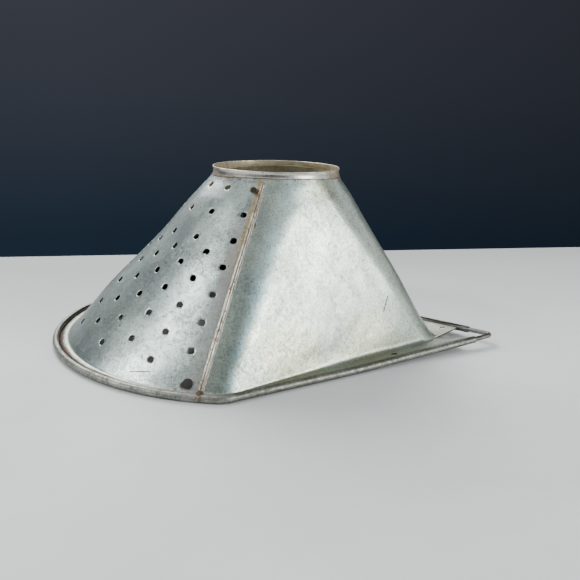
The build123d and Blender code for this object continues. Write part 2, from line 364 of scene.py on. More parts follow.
def applied(made, sharp=38):
    """Applies the modifiers and shades smoothly, with sharp edges kept."""
    bpy.context.view_layer.update()
    graph = bpy.context.evaluated_depsgraph_get()
    mesh = bpy.data.meshes.new_from_object(made.evaluated_get(graph))
    made.modifiers.clear()
    made.data = mesh
    mesh.polygons.foreach_set("use_smooth", [True] * len(mesh.polygons))
    mesh.set_sharp_from_angle(angle=math.radians(sharp))
    return made


def rounded(made, sharp):
    """Applies one level of subdivision."""
    softer = made.modifiers.new("round", "SUBSURF")
    softer.levels = softer.render_levels = 1
    return applied(made, sharp)


def cutter(name, places):
    """Short round tools, one for each (centre, axis, radius, depth) in millimetres."""
    bm = bmesh.new()
    for centre, axis, radius, depth, *stretch in places:
        turn = Vector(axis).to_track_quat("Z", "Y").to_matrix().to_4x4()
        if stretch:
            turn = turn @ Matrix.Diagonal((*stretch, 1, 1))
        bmesh.ops.create_cone(
            bm,
            cap_ends=True,
            segments=28,
            radius1=radius,
            radius2=radius,
            depth=depth,
            matrix=Matrix.Translation(centre) @ turn,
        )
    return new_object(name, bm, moved=False)


def read_values(items, key, kind=int):
    """One value from each item of a mesh's collection."""
    values = np.empty(len(items), kind)
    items.foreach_get(key, values)
    return values


def sort_faces(mesh):
    """Gives the outside and the roll, whose visible side is the sheet's underside, the first material."""
    roll = read_values(mesh.attributes["roll"].data, "value", float)
    corners = read_values(mesh.loops, "vertex_index")
    starts = read_values(mesh.polygons, "loop_start")
    sizes = read_values(mesh.polygons, "loop_total")
    side = read_values(mesh.polygons, "material_index")
    share = np.add.reduceat(roll[corners], starts) / sizes
    mesh.polygons.foreach_set("material_index", np.where(share > 0.04, 0, 1 - side))


def thicken_and_cut(made, tool):
    solid = made.modifiers.new("sheet", "SOLIDIFY")
    solid.thickness = SHEET * MM
    solid.offset = 0
    solid.use_even_offset = False
    solid.material_offset = 1
    solid.material_offset_rim = 0
    for _ in range(2):
        made.data.materials.append(None)
    if tool is not None:
        cut = made.modifiers.new("holes", "BOOLEAN")
        cut.operation = "DIFFERENCE"
        cut.object = tool
        cut.solver = "EXACT"
    applied(made)
    sort_faces(made.data)
    side = cad_high.y - 0.00001
    for vert in made.data.vertices:
        vert.co.y = min(max(vert.co.y, -side), side)
    if tool is not None:
        bpy.data.objects.remove(tool)


# ---- strainer half ----
def strainer_point(angle, share, grow=-HALF_LEVEL):
    neck, base = ellipse_part(np.atleast_1d(angle), grow)
    return on_wall(neck, base, np.atleast_1d(share))


def hole_frame(angle, share):
    """Point, its two surface directions and its unit tangents on the strainer's wall."""
    step = 1e-4
    point = strainer_point(angle, share)[0]
    along = (strainer_point(angle + step, share)[0] - point) / step
    down = (strainer_point(angle, share + step)[0] - point) / step
    e1 = along / np.linalg.norm(along)
    normal = np.cross(along, down)
    normal /= np.linalg.norm(normal)
    if normal @ np.array([point[0] + 10, point[1], 10]) < 0:
        normal = -normal
    e2 = np.cross(normal, e1)
    return point, along, down, e1, e2, normal


def ring_patch(bm, painted_shade_layer, verts, i0, j0, wide, tall, angle, share):
    """Fills a block of the grid round a hole with rings that end in the hole's edge, pressed in a little."""
    loop = [(i0 + i, j0 - tall) for i in range(-wide, wide)]
    loop += [(i0 + wide, j0 + j) for j in range(-tall, tall)]
    loop += [(i0 - i, j0 + tall) for i in range(-wide, wide)]
    loop += [(i0 - wide, j0 - j) for j in range(-tall, tall)]
    outer = [verts[i][j] for i, j in loop]
    point, along, down, e1, e2, normal = hole_frame(angle, share)
    offsets = np.array([np.array(v.co) - point for v in outer])
    flat = np.c_[offsets @ e1, offsets @ e2]
    turns = np.unwrap(np.arctan2(flat[:, 1], flat[:, 0]))
    even = turns[0] + (turns[-1] - turns[0]) * np.arange(len(turns)) / (len(turns) - 1)
    turns = 0.7 * turns + 0.3 * even
    reach = np.linalg.norm(flat, axis=1)
    jitter = RNG.uniform(-0.05, 0.05, 3)
    jitter_angle = RNG.uniform(0, 2 * math.pi)
    to_surface = np.linalg.pinv(np.c_[along, down])
    previous = outer
    for part, press in ((0.55, 0.0), (0.25, 0.02), (0.08, 0.06), (0.0, 0.13)):
        edge_r = HOLE_R * (1 + jitter[0] + jitter[1] * np.cos(2 * (turns - jitter_angle)))
        radius = edge_r + (np.maximum(reach, edge_r + 0.2) - edge_r) * part
        way = np.outer(np.cos(turns), e1) + np.outer(np.sin(turns), e2)
        steps = (to_surface @ (way * radius[:, None]).T).T
        placed = strainer_point(angle + steps[:, 0], share + steps[:, 1]) - normal * press
        current = [bm.verts.new(p) for p in placed]
        for k in range(len(current)):
            n = (k + 1) % len(current)
            bm.faces.new((previous[k], previous[n], current[n], current[k]))
        previous = current
    # The hole's edge is set to 2 on the first wear layer, which the tinplate paints near black: painted shade on
    # the hole's wall.
    for vert in previous:
        vert[painted_shade_layer] = 2.0


def make_strainer():
    step = math.radians(COLUMN_STEP / PER_COLUMN)
    beyond = 17
    count = (COLUMNS - 1) * PER_COLUMN + 1 + 2 * beyond
    angles = math.radians(FIRST_COLUMN) + (np.arange(count) - beyond) * step
    neck, base = ellipse_part(angles, -HALF_LEVEL)
    rim_index = nearest_rim(base)
    west = np.clip(-np.cos(angles), 0, None)
    groove = GROOVE + 1.5 * west**1.5
    none = np.full((count, 3), np.nan)
    last, foot = foot_profile(neck, base, rim_index, groove, np.full(count, 2.0), none)
    row = ROW_STEP / PER_ROW
    above = 6
    regular = FIRST_ROW + (np.arange(above + int(6.95 * PER_ROW)) - above) * row
    top = 1 - (raised_foot(angles) + 0.25) / NECK_Z
    t = np.linspace(0, 1, 4)[None, :-1]
    upper = top[:, None] * (1 - t) + regular[0] * t
    t = np.linspace(0, 1, 9)[None, 1:]
    lower = regular[-1] * (1 - t) + last[:, None] * t
    shares = np.concatenate([upper, np.tile(regular, (count, 1)), lower], axis=1)
    wall = on_wall(neck[:, None, :], base[:, None, :], shares)
    points = np.concatenate([wall, foot], axis=1)
    lead = upper.shape[1] + above
    blocks = []
    for column in range(COLUMNS):
        short = column % 2 == 1
        for number in range(SHORT_ROWS if short else LONG_ROWS):
            steps = (FIRST_SHORT_ROW if short else 0) + number
            i0 = beyond + column * PER_COLUMN
            j0 = lead + int(round(steps * PER_ROW))
            share = FIRST_ROW + steps * ROW_STEP
            pitch = step * (NECK_R + (BASE_A - NECK_R) * share)
            wide = int(math.ceil(2.1 / pitch))
            blocks.append((i0, j0, wide, 3, angles[i0], share))
    hidden = set()
    for i0, j0, wide, tall, _, _ in blocks:
        hidden |= {(i, j) for i in range(i0 - wide, i0 + wide) for j in range(j0 - tall, j0 + tall)}
    bm = bmesh.new()
    layers = wear_layers(bm)
    verts = add_grid(bm, points, lambda i, j: (i, j) in hidden)
    mark_rows(verts, layers, shares.shape[1])
    for block in blocks:
        ring_patch(bm, layers[0], verts, *block)
    loose = [v for v in bm.verts if not v.link_faces]
    bmesh.ops.delete(bm, geom=loose, context="VERTS")
    seam_cut(bm, keep_left=True)
    made = new_object("strainer_sheet", bm)
    angle, height, radius = BIG_HOLE
    place, _, _, _, _, normal = hole_frame(math.radians(angle), 1 - height / NECK_Z)
    thicken_and_cut(made, cutter("odd_hole", [(place, normal, radius, 3.0)]))
    return made


# ---- plain half ----
def make_plain():
    neck, base, part = plain_outline(-HALF_LEVEL)
    count = len(neck)
    rear = base[:, 1] > 0
    rim_index = nearest_rim(base)
    tip = part >= 3
    edge_end = np.full((count, 3), np.nan)
    groove = np.where(rear, REAR_GROOVE, GROOVE)
    groove = groove + np.where(rear & (part < 2), -0.25, 0.0)
    place = np.where(rear, 4 - part, part - 4)
    for side in (-1, 1):
        last_panel = rim_index[(part == 2) & (rear == (side > 0))]
        reached = last_panel.max() if side < 0 else last_panel.min()
        notch = rim_at_x(NOTCH_X, side)
        here = np.where(tip & ((place <= ROOT_PLACE) if side < 0 else (place > ROOT_PLACE)))[0]
        shares_round = (1 - side * place[here]) / (1 - side * ROOT_PLACE)
        split = shares_round[shares_round <= NOTCH_SHARE].max()
        for k, share in zip(here, shares_round):
            if share <= split:
                rim_index[k] = int(round(reached + (notch - reached) * share / split))
            else:
                rim_index[k] = notch
                width = REAR_GROOVE if side > 0 else GROOVE
                start = RIM[notch] + RIM_IN[notch] * (RIM_OUT_R + width + GROOVE_EDGE)
                t = (share - split) / (1 - split)
                edge_end[k] = *(start + (np.array(NOTCH_ROOT) - start) * t), 1 - t
    wanted = np.where(part == 0, 1.5, 3.0)
    wanted = np.where(part >= 3, 1.6, wanted)
    last, foot = foot_profile(neck, base, rim_index, groove, wanted, edge_end)
    azimuth = np.arctan2(neck[:, 1], neck[:, 0])
    top = 1 - (raised_foot(azimuth) + 0.25) / NECK_Z
    t = np.linspace(0, 1, 91)[None, :]
    shares = top[:, None] * (1 - t) + last[:, None] * t
    wall = on_wall(neck[:, None, :], base[:, None, :], shares)
    grids = []
    for k in range(count):
        rows = foot[k]
        if not np.isnan(edge_end[k, 0]):
            rows = rows[: BEND_ROWS + FLANGE_ROWS]
        grids.append(np.concatenate([wall[k], rows]))
    bm = bmesh.new()
    layers = wear_layers(bm)
    mark_rows(add_grid(bm, grids), layers, shares.shape[1])
    for side in (-1, 1):
        ends = (rim_at_x(NOTCH_X, side), rim_at_x(ROLL_END_X, side))
        index = np.round(np.linspace(ends[0], ends[1], 9)).astype(int)
        groove_here = np.full(len(index), REAR_GROOVE if side > 0 else GROOVE)
        strip, _ = rolled(index, groove_here, np.linspace(0, 1, len(index)) ** 0.7 * 55)
        for line in add_grid(bm, strip if side < 0 else strip[::-1]):
            for vert in line:
                vert[layers[1]] = 1.0
    bmesh.ops.remove_doubles(bm, verts=bm.verts, dist=1e-4)
    seam_cut(bm, keep_left=False)
    made = new_object("plain_sheet", bm)
    places = [((x, y, FLANGE_MID + float(rise(x))), (0.05, 0.1, 1), r, 5.0) for x, y, r in NAIL_HOLES]
    x, y, radius, stretch = NOTCH_SLIT
    places.append(((x, y, float(foot_height(75))), (0.02, 0.0, 1), radius, 2.4, 1.0, stretch))
    thicken_and_cut(made, cutter("nail_holes", places))
    return made


# ---- swept and turned pieces ----
def seam_point(height, side, grow=0.0):
    """Point on the wall's outer face where the seam plane crosses it at a height."""
    share = 1 - height / NECK_Z
    x = SEAM_FOOT_X + SEAM_LEAN * (height - SEAM_FOOT_Z)
    cosine = (x - BASE_X * share) / (NECK_R + (BASE_A - NECK_R) * share + grow)
    y = side * (NECK_R + (BASE_B - NECK_R) * share + grow) * math.sqrt(1 - cosine**2)
    return np.array([x, y, height])


def seam_frames(side, high, low, count):
    """Points down a seam with their outward normals and their sideways directions towards +X."""
    heights = np.linspace(high, low, count)
    line = np.array([seam_point(h, side) for h in heights])
    way = np.gradient(line, axis=0)
    way /= np.linalg.norm(way, axis=1)[:, None]
    round_wall = np.array([seam_tangent(h, side) for h in heights])
    normal = np.cross(way, round_wall)
    normal *= np.sign(normal[:, 2])[:, None]
    normal /= np.linalg.norm(normal, axis=1)[:, None]
    across = np.cross(normal, way)
    across *= np.sign(across[:, 0])[:, None]
    return line, normal, across


def seam_tangent(height, side):
    share = 1 - height / NECK_Z
    a = NECK_R + (BASE_A - NECK_R) * share
    b = NECK_R + (BASE_B - NECK_R) * share
    x, y, _ = seam_point(height, side)
    x -= BASE_X * share
    way = np.array([a * y / b, -b * x / a, 0])
    return way / np.linalg.norm(way)


def loft(name, rings, closed=False, moved=False):
    """Joins rings of equally many points into a tube, with its ends capped unless it closes on itself."""
    bm = bmesh.new()
    made = [[bm.verts.new(p) for p in ring] for ring in rings]
    pairs = list(zip(made, made[1:]))
    if closed:
        pairs.append((made[-1], made[0]))
    for low, high in pairs:
        for k in range(len(low)):
            n = (k + 1) % len(low)
            bm.faces.new((low[k], low[n], high[n], high[k]))
    if not closed:
        bm.faces.new(made[0])
        bm.faces.new(made[-1][::-1])
    return new_object(name, bm, moved)


FOLD = (
    (-0.92, -0.35), (-0.90, 0.10), (-0.80, 0.38), (-0.60, 0.52), (-0.36, 0.50), (-0.16, 0.36), (-0.06, 0.12),
    (0.08, 0.12), (0.20, 0.34), (0.40, 0.46), (0.62, 0.46), (0.80, 0.34), (0.90, 0.10), (0.92, -0.35),
)


def make_fold(name, side):
    """The lock seam: two folded edges side by side, with a fine slit between them."""
    line, normal, across = seam_frames(side, 74.7, 2.9, 150)
    rings = []
    for k, point in enumerate(line):
        swell = 1 + 0.07 * math.sin(0.31 * k + 1) + 0.05 * math.sin(0.83 * k)
        shift = 0.05 * math.sin(0.17 * k + side)
        heights = [h * swell if h > 0 else h for _, h in FOLD]
        rings.append([point + across[k] * (a + shift) + normal[k] * h for (a, _), h in zip(FOLD, heights)])
    return rounded(loft(name, rings, moved=True), 60)


def make_bead(name, side):
    """Run of solder beside the fold, uneven in width and height."""
    line, normal, across = seam_frames(side, 74.4, 3.1, 190)
    rng = np.random.default_rng(7 + side)
    lumps = np.convolve(rng.normal(size=230), np.hanning(11) / 3, "valid")[: len(line)]
    rings = []
    for k, point in enumerate(line):
        width = 0.34 + 0.06 * lumps[k]
        height = 0.30 + 0.08 * lumps[k]
        ring = []
        for turn in np.linspace(0, 2 * math.pi, 12, endpoint=False):
            a = 1.12 + width * math.cos(turn)
            h = -0.08 + height * math.sin(turn)
            ring.append(point + across[k] * a + normal[k] * h)
        rings.append(ring)
    return applied(loft(name, rings, moved=True), 70)


def make_lump(name, node, seed):
    """Rusty lump of solder at a seam's foot, inside the box its CAD solid has."""
    low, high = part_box(node)
    middle = (low + high) / 2 / MM
    half = (high - low) / 2 / MM
    bm = bmesh.new()
    bmesh.ops.create_icosphere(bm, subdivisions=4, radius=1)
    points = np.array([v.co for v in bm.verts])
    lumpy = 1 + noise(points * 10, (waves(6, 16, seed), 0.10)) + noise(points * 10, (waves(6, 6, seed + 1), 0.05))
    size = np.array([half.x * 0.66, half.y * 0.66, half.z * 1.05])
    placed = points * lumpy[:, None] * size + np.array([middle.x + 0.2, middle.y, middle.z - 0.6])
    placed[:, 1] = np.clip(placed[:, 1], (low.y / MM) + 0.02, (high.y / MM) - 0.02)
    for vert, point in zip(bm.verts, placed):
        vert.co = point
    return applied(new_object(name, bm, moved=False), 80)


def make_wire():
    """The rim wire, with the small kinks of a wire bent by hand."""
    step = np.linalg.norm(np.diff(RIM, axis=0, append=RIM[:1]), axis=1)
    total = np.cumsum(step)
    marks = np.searchsorted(total, np.arange(0, total[-1] - 0.4, 0.9))
    centre = np.c_[RIM[marks], RIM_OUT_R + rise(RIM[marks, 0])]
    bare = np.clip((centre[:, 0] - 90) / 6, 0, 1)
    sideways = RIM_IN[marks]
    kink = noise(centre, (waves(5, 9, 11), 0.10)) * bare
    centre[:, :2] += sideways * np.clip(kink, 0, None)[:, None]
    rings = []
    for k, point in enumerate(centre):
        inward = np.array([*sideways[k], 0])
        up = np.array([0, 0, 1])
        turns = np.linspace(0, 2 * math.pi, 20, endpoint=False)
        radius = (WIRE_R - 0.01) * (1 - 0.02 * math.sin(0.9 * k) ** 2)
        rings.append([point + (inward * math.cos(t) + up * math.sin(t)) * radius for t in turns])
    return applied(loft("rim_wire_bent", rings, closed=True), 80)


def make_collar():
    """The neck's band: hemmed lip, faint waist, and a lower edge that rises at the front and rear."""
    section = (
        (28.46, 0.0), (28.40, 0.12), (28.24, 0.45), (28.22, 0.65), (28.30, 0.80), (28.46, 0.86), (28.50, 0.92),
        (28.44, 0.98), (28.28, 1.0), (27.94, 1.0), (27.76, 0.97), (27.72, 0.90), (27.74, 0.5), (27.72, 0.0),
    )
    rings = []
    for k in range(240):
        turn = 2 * math.pi * k / 240
        low = float(raised_foot(turn)) - 0.05
        wave = 0.05 * math.sin(3 * turn + 1) + 0.03 * math.sin(7 * turn) + 0.02 * math.sin(17 * turn)
        ring = []
        for radius, share in section:
            out = radius - 0.06 + (wave if radius < 28.4 else min(wave, 0.0) * 0.6)
            height = low + (TOP_Z - low) * share - (0.05 * abs(math.sin(2 * turn + 0.6)) if share > 0.8 else 0)
            ring.append((out * math.cos(turn), out * math.sin(turn), height))
        rings.append(ring)
    return rounded(loft("collar_band", rings, closed=True), 70)


def make_collar_bead():
    """Thin uneven run of solder and rust where the collar meets the wall."""
    rng = np.random.default_rng(31)
    lumps = np.convolve(rng.normal(size=420), np.hanning(9) / 3, "same")
    rings = []
    for k in range(420):
        turn = 2 * math.pi * k / 420
        height = float(raised_foot(turn)) - 0.05
        radius = NECK_R - 0.62 * (height - NECK_Z) + 0.03
        size = 0.27 + 0.07 * lumps[k]
        ring = []
        for t in np.linspace(0, 2 * math.pi, 10, endpoint=False):
            r = radius + size * math.cos(t)
            ring.append((r * math.cos(turn), r * math.sin(turn), height + size * 1.2 * math.sin(t)))
        rings.append(ring)
    return applied(loft("collar_solder_bead", rings, closed=True), 80)


# ---- materials ----
class Nodes:
    """Short hand for a material's node tree. Positions are in millimetres in the object's frame."""

    def __init__(self, name):
        self.material = bpy.data.materials.new(name)
        self.material.use_nodes = True
        self.tree = self.material.node_tree
        self.shader = self.tree.nodes["Principled BSDF"]
        place = self.node("ShaderNodeTexCoord")
        scale = self.node("ShaderNodeVectorMath")
        scale.operation = "SCALE"
        self.link(place.outputs["Object"], scale.inputs[0])
        scale.inputs["Scale"].default_value = 1000
        self.place = scale.outputs[0]
        apart = self.node("ShaderNodeSeparateXYZ")
        self.link(self.place, apart.inputs[0])
        self.x, self.y, self.z = apart.outputs

    def node(self, kind, **values):
        """A new node, with its inputs set to the values given by name."""
        node = self.tree.nodes.new(kind)
        for name, value in values.items():
            node.inputs[name].default_value = value
        return node

    def link(self, a, b):
        if isinstance(a, (int, float)):
            b.default_value = a
        else:
            self.tree.links.new(a, b)

    def math(self, operation, a, b=0.0, c=0.0, clamp=False):
        node = self.node("ShaderNodeMath")
        node.operation = operation
        node.use_clamp = clamp
        for value, socket in zip((a, b, c), node.inputs):
            self.link(value, socket)
        return node.outputs[0]

    def linear(self, value, gain, offset, clamp=False):
        return self.math("MULTIPLY_ADD", value, gain, offset, clamp)

    def from_seam(self):
        """Distance from the seam along X, towards the plain half."""
        seam_x = self.linear(self.math("SUBTRACT", self.z, SEAM_FOOT_Z), SEAM_LEAN, SEAM_FOOT_X)
        return self.math("SUBTRACT", self.x, seam_x)

    def stretch(self, sizes, turn=0.0):
        node = self.node("ShaderNodeMapping", Scale=sizes, Rotation=(0, turn, turn / 2))
        self.link(self.place, node.inputs["Vector"])
        return node.outputs[0]

    def noise(self, size, detail=4, rough=0.55, place=None, warp=0.0):
        """Noise from 0 to 1 with features about size millimetres across."""
        node = self.node("ShaderNodeTexNoise", Scale=1 / size, Detail=detail, Roughness=rough, Distortion=warp)
        self.link(place or self.place, node.inputs["Vector"])
        return node.outputs["Fac"]

    def attribute(self, name):
        node = self.node("ShaderNodeAttribute")
        node.attribute_name = name
        return node.outputs["Fac"]

    def cells(self, size, place=None):
        node = self.node("ShaderNodeTexVoronoi", Scale=1 / size)
        self.link(place or self.place, node.inputs["Vector"])
        return node.outputs["Distance"]

    def ramp(self, value, low, high, smooth=True):
        """0 below low and 1 above high. With high under low it falls instead."""
        node = self.node("ShaderNodeMapRange")
        node.interpolation_type = "SMOOTHSTEP" if smooth else "LINEAR"
        self.link(value, node.inputs["Value"])
        flip = high < low
        node.inputs["From Min"].default_value = min(low, high)
        node.inputs["From Max"].default_value = max(low, high)
        node.inputs["To Min"].default_value = 1.0 if flip else 0.0
        node.inputs["To Max"].default_value = 0.0 if flip else 1.0
        return node.outputs["Result"]

    def blend(self, share, a, b):
        """Colour mix. a and b are colours or sockets."""
        node = self.node("ShaderNodeMix")
        node.data_type = "RGBA"
        self.link(share, node.inputs["Factor"])
        for value, socket in ((a, node.inputs[6]), (b, node.inputs[7])):
            if isinstance(value, tuple):
                socket.default_value = (*value, 1)
            else:
                self.tree.links.new(value, socket)
        return node.outputs[2]

    def near(self, x, y, z, radius, ragged):
        """1 at a point and 0 beyond a ragged edge about radius away."""
        node = self.node("ShaderNodeVectorMath")
        node.operation = "DISTANCE"
        self.link(self.place, node.inputs[0])
        node.inputs[1].default_value = (x, y, z)
        away = self.math("ADD", node.outputs["Value"], self.math("MULTIPLY", ragged, radius * 1.6))
        return self.ramp(away, radius * 1.9, radius * 1.2)

    def vector(self, operation, a, b):
        node = self.node("ShaderNodeVectorMath")
        node.operation = operation
        for value, socket in zip((a, b), node.inputs):
            if isinstance(value, tuple):
                socket.default_value = value
            else:
                self.tree.links.new(value, socket)
        return node

    def score(self, start, end, normal, width):
        """1 along a scratch from start to end on a surface with the given normal."""
        away = self.vector("SUBTRACT", self.place, start).outputs[0]
        flat = self.vector("CROSS_PRODUCT", away, normal).outputs[0]
        run = Vector(end) - Vector(start)
        turned = run.cross(Vector(normal))
        along = self.vector("DOT_PRODUCT", flat, tuple(turned / turned.length_squared)).outputs["Value"]
        step = self.vector("SCALE", tuple(turned), (0, 0, 0))
        self.link(self.math("ADD", along, 0, clamp=True), step.inputs["Scale"])
        gap = self.vector("SUBTRACT", flat, step.outputs[0]).outputs[0]
        gap = self.vector("LENGTH", gap, (0, 0, 0)).outputs["Value"]
        whole = self.vector("LENGTH", away, (0, 0, 0)).outputs["Value"]
        return self.times(self.ramp(gap, width, width * 0.4), self.ramp(whole, run.length * 1.6, run.length * 1.3))

    def most(self, *values):
        result = values[0]
        for value in values[1:]:
            result = self.math("MAXIMUM", result, value)
        return result

    def times(self, *values):
        result = values[0]
        for value in values[1:]:
            result = self.math("MULTIPLY", result, value)
        return result

    def finish(self, colour, roughness, height, depth, metal):
        """depth is the bump's height in millimetres."""
        self.link(colour, self.shader.inputs["Base Color"])
        self.link(roughness, self.shader.inputs["Roughness"])
        self.link(metal, self.shader.inputs["Metallic"])
        bump = self.node("ShaderNodeBump", Strength=1.0, Distance=depth * MM)
        self.link(height, bump.inputs["Height"])
        self.link(bump.outputs["Normal"], self.shader.inputs["Normal"])
        return self.material


RUST_DARK, RUST, RUST_LIGHT = (0.045, 0.026, 0.016), (0.17, 0.085, 0.038), (0.42, 0.28, 0.13)
TAN = (0.50, 0.40, 0.23)
PANEL_NORMAL = (0.605, -0.732, 0.313)    # of the front flat panel


def tinplate(name, light, mid, stain, rough, inside=False, mottle=1.0, strainer=False, plain=False):
    """Old hot-dipped tinplate: cloudy tin with stains, fine pits, scratches, and rust where it wore through."""
    n = Nodes(name)
    cloud = n.noise(26, 5, 0.6, warp=0.6)
    blotch = n.noise(7, 5, 0.65, warp=0.4)
    speck = n.noise(1.5, 6, 0.85)
    grain = n.noise(0.6, 4, 0.8)
    colour = n.blend(n.ramp(cloud, 0.35, 0.65), light, mid)
    stained = n.times(n.ramp(blotch, 0.36, 0.62), n.ramp(speck, 0.44, 0.58), mottle)
    if plain:
        low = n.linear(n.ramp(n.z, 27, 9), 0.65, 0.30)
        tan = n.most(n.near(45, -28.7, 7, 20, blotch), n.near(12, -53, 9, 20, blotch))
        tan = n.most(tan, n.times(n.near(21, -20, 72, 10, speck), 0.7))
        patches = n.linear(n.ramp(blotch, 0.38, 0.6), 0.6, 0.4)
        stained = n.most(n.times(n.ramp(speck, 0.42, 0.58), patches, low), n.times(stained, 0.7))
        colour = n.blend(n.times(tan, 0.5), colour, (0.64, 0.60, 0.38))
    colour = n.blend(n.times(stained, 0.85), colour, stain)
    fine = n.times(n.ramp(grain, 0.50, 0.64), 0.75 * mottle)
    colour = n.blend(fine, colour, tuple(c * 0.45 for c in stain))
    flecks = n.times(n.ramp(n.noise(1.0, 3, 0.6), 0.62, 0.68), n.ramp(cloud, 0.42, 0.58), 0.55 * mottle)
    colour = n.blend(flecks, colour, tuple(c * 0.25 for c in stain))
    pits = n.ramp(n.cells(4.5), 0.10, 0.055)
    few = n.ramp(n.noise(13, 2), 0.50, 0.58)
    pits = n.times(pits, few)
    along = n.stretch((0.05, 0.9, 0.12), 0.35)
    scratch = n.ramp(n.noise(0.35, 2, 0.5, place=along), 0.70, 0.74)
    ragged = n.noise(2.2, 4, 0.7)
    from_seam = n.from_seam()
    spots = [n.times(pits, 0.85)]
    dull = []
    if not inside:
        front = n.ramp(n.y, 0, -10)
        grime_and_shade, roll, flange = n.attribute("grime_and_shade"), n.attribute("roll"), n.attribute("flange")
        if strainer:
            high = n.ramp(n.z, 34, 56)
            uneven = n.math("ADD", from_seam, n.math("MULTIPLY", ragged, 2.4))
            band = n.times(n.ramp(uneven, -1.9, -0.5), front, high)
            foot = n.near(-26.2, -73.6, 4.2, 1.6, ragged)
            foot = n.most(foot, n.near(-29.0, -74.6, 3.4, 1.2, ragged), n.near(-23.6, -74.6, 4.9, 2.5, ragged))
            rim = n.most(n.near(-45.5, -76.2, 2.6, 1.2, ragged), n.near(-52.5, -73.2, 2.4, 1.0, ragged))
            rim = n.most(rim, n.near(-19.0, -79.2, 1.8, 1.8, ragged))
            spots += [n.times(band, n.ramp(speck, 0.50, 0.60), 0.8), foot, n.times(rim, 0.8)]
            spots.append(n.times(n.near(-19.3, -39.8, 53.8, 3.4, blotch), n.ramp(speck, 0.47, 0.58), 0.7))
            scored = n.score((-48.6, -66.2, 5.2), (-39.8, -68.5, 6.7), (-0.29, -0.75, 0.59), 0.25)
            spots.append(n.times(scored, 0.7))
            spots.append(n.near(-4.6, -31.2, 71.6, 2.0, ragged))
            matt = n.times(n.ramp(n.linear(ragged, 1.2, from_seam), -6.0, -4.8), front, n.ramp(n.z, 64, 52))
            dull.append((n.times(matt, n.linear(n.ramp(n.z, 22, 45), 0.35, 0.45)), (0.37, 0.35, 0.33)))
            dull.append((n.times(band, 0.9), TAN))
        if plain:
            brown = n.near(7.4, -27.8, 74.3, 0.9, ragged)
            low = n.most(n.near(53.5, -24.6, 4.9, 0.8, ragged), n.near(76.4, -0.4, 4.6, 1.3, ragged))
            end = n.near(86.5, 11.3, 5.2, 2.2, ragged)
            spots += [n.near(-4.8, -38.9, 59.4, 2.1, ragged), n.times(brown, 0.7), low, n.times(end, 0.7)]
            marks = [n.score((52.3, -15.1, 25.3), (50.7, -18.9, 19.4), PANEL_NORMAL, 0.42)]
            for _ in range(9):
                x, z = RNG.uniform(12, 62), RNG.uniform(8, 60)
                turn, length = RNG.uniform(-0.5, 0.9), RNG.uniform(1.5, 4.5)
                y = -23.5 + 0.827 * (x - 28.3) + 0.427 * (z - 50)
                start = (x, y, z)
                aside = length * math.sin(turn)
                finish = (x + 0.77 * aside, y + 0.63 * aside, z + length * math.cos(turn))
                marks.append(n.times(n.score(start, finish, PANEL_NORMAL, RNG.uniform(0.16, 0.28)), 0.6))
            spots.append(n.times(n.most(*marks), 0.85))
            spots.append(n.near(-18.2, -79.2, 1.9, 1.2, ragged))
        west = n.ramp(n.x, -45, -80)
        old = n.linear(n.most(west, n.ramp(n.y, -4, 4)), 0.5, 0.5)
        spots.append(n.times(grime_and_shade, n.ramp(n.noise(6, 4, 0.6), 0.40, 0.58), n.linear(west, 0.45, 0.25)))
        worn = n.times(roll, n.linear(n.ramp(blotch, 0.30, 0.70), 0.35, 0.60))
        colour = n.blend(n.times(flange, 0.50), colour, (0.50, 0.48, 0.38))
        greys = n.blend(n.ramp(speck, 0.42, 0.58), (0.26, 0.26, 0.24), (0.10, 0.10, 0.09))
        colour = n.blend(worn, colour, greys)
        # The roll's lower part, near the table, is blended towards near black: painted shade under the roll.
        level = n.math("SUBTRACT", n.z, n.math("MULTIPLY", n.ramp(n.x, 40, 104), 2.6))
        colour = n.blend(n.times(roll, n.ramp(level, 1.5, 0.5), 0.6), colour, (0.07, 0.068, 0.06))
        # Near black in the groove, at the roll's tucked end and at the holes' edges, stronger to the west and
        # rear: painted shade in these recesses.
        colour = n.blend(n.times(grime_and_shade, old, 0.9), colour, (0.045, 0.038, 0.030))
        for part, shade in dull:
            colour = n.blend(n.times(part, n.ramp(ragged, 0.15, 0.5)), colour, shade)
    else:
        # Below the neck the inside keeps its near-black tones, which are painted shade; higher up it turns to
        # golden varnish.
        gold = n.ramp(n.z, 55, 63)
        varnish = n.blend(n.ramp(cloud, 0.40, 0.62), (0.56, 0.51, 0.36), (0.38, 0.33, 0.21))
        colour = n.blend(gold, colour, varnish)
    below_neck = n.ramp(n.z, NECK_Z - 1.6, NECK_Z - 0.2)
    spots.append(n.times(below_neck, n.ramp(ragged, 0.42, 0.58), 0.55, n.ramp(n.x, 12, -6)))
    rust = n.most(*spots)
    tone = n.blend(n.ramp(n.noise(0.9, 3), 0.4, 0.65), RUST, RUST_DARK)
    tone = n.blend(n.ramp(ragged, 0.60, 0.75), tone, RUST_LIGHT)
    colour = n.blend(rust, colour, tone)
    colour = n.blend(n.times(scratch, 0.03 if inside else 0.4), colour, (0.70, 0.72, 0.70))
    roughness = n.linear(blotch, 0.16, rough - 0.08)
    roughness = n.linear(n.ramp(speck, 0.42, 0.6), 0.14, roughness)
    roughness = n.linear(rust, 0.35, roughness, clamp=True)
    metal = n.linear(rust, -0.9, 1.0, clamp=True)
    if inside:
        metal = n.linear(gold, -0.5, metal, clamp=True)
    else:
        roughness = n.linear(flange, 0.16, roughness, clamp=True)
    for part, _ in dull:
        roughness = n.linear(part, 0.25, roughness, clamp=True)
        metal = n.linear(part, -0.45, metal, clamp=True)
    swell = n.linear(n.noise(11, 2, 0.4), 1.0, n.times(grain, 0.16))
    swell = n.linear(speck, 0.26, swell)
    swell = n.linear(scratch, -0.05, swell)
    swell = n.linear(pits, -0.12, swell)
    return n.finish(colour, roughness, swell, 0.22, metal)


